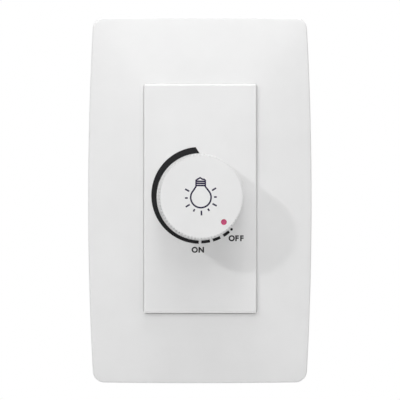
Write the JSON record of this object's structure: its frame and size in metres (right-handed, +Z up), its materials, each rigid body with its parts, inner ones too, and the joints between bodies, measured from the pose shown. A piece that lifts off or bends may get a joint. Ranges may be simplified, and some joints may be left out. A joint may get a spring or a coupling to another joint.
{
  "type": "rotary dimmer switch",
  "caption": "Vertical white wall dimmer with a crowned cover plate, raised oblong panel, fine-ribbed rotary knob with a red pointer dot and a printed brightness arc.",
  "frame": {"origin": "midpoint between the two box screws in the wall plane, which is the middle of the cover plate", "axes": "+Z up along the plate, +Y into the wall, +X to the right as seen from the front; the front faces -Y"},
  "size_m": [0.072, 0.0479, 0.118],
  "materials": {
    "white_cover": "satin",
    "white_panel": "satin",
    "white_knob": "satin",
    "frame_plastic": "matt",
    "housing_plastic": "matt",
    "red_ink": "gloss",
    "dark_ink": "matt",
    "zinc_steel": "zinc plated",
    "spring_steel": "bright",
    "turned_aluminium": "turned",
    "cast_zinc": "bare die casting",
    "phenolic": "matt",
    "carbon": "matt",
    "dark_plastic": "matt",
    "pale_plastic": "matt",
    "bronze": "bright",
    "brass": "bright",
    "tinned": "tinned",
    "board": "satin",
    "aluminium": "mill",
    "ferrite": "coated",
    "enamelled_copper": "enamelled",
    "film_yellow": "gloss",
    "film_red": "gloss",
    "resistor_body": "gloss",
    "diac_body": "clear",
    "glass": "clear"
  },
  "bodies": {
    "wall_unit": {"cover_plate": "white_cover", "front_panel": "white_panel", "mounting_frame": "frame_plastic", "rear_housing": "housing_plastic", "box_screws": "zinc_steel", "scale_print": "dark_ink", "pot_bushing": "cast_zinc", "lock_washer": "zinc_steel", "bushing_nut": "zinc_steel", "pot_wafer": "phenolic", "resistor_track": "carbon", "pot_lugs": "tinned", "pot_can": "tinned", "switch_cup": "dark_plastic", "switch_base": "dark_plastic", "switch_leaf": "bronze", "switch_anvil": "bronze", "switch_pins": "tinned", "circuit_board": "board", "board_screws": "zinc_steel", "triac": "dark_plastic", "heatsink": "aluminium", "heatsink_screw": "zinc_steel", "choke_core": "ferrite", "choke_winding": "enamelled_copper", "film_capacitor": "film_yellow", "timing_capacitor": "film_red", "resistors": "resistor_body", "diac": "diac_body", "fuse_tube": "glass", "fuse_caps": "tinned", "fuse_clips": "tinned", "terminal_clamps": "brass", "terminal_screws": "zinc_steel"},
    "knob_rotor": {"knob": "white_knob", "knob_dot": "red_ink", "knob_spring": "spring_steel", "pot_shaft": "turned_aluminium", "pot_rotor": "pale_plastic", "pot_wiper": "bronze", "switch_cam": "pale_plastic"}
  },
  "joints": [
    {"name": "knob_turn", "type": "hinge", "parent": "wall_unit", "child": "knob_rotor", "pos_m": [0, 0, 0.001], "axis": [0, 1, 0], "range_deg": [0, 225]}
  ]
}
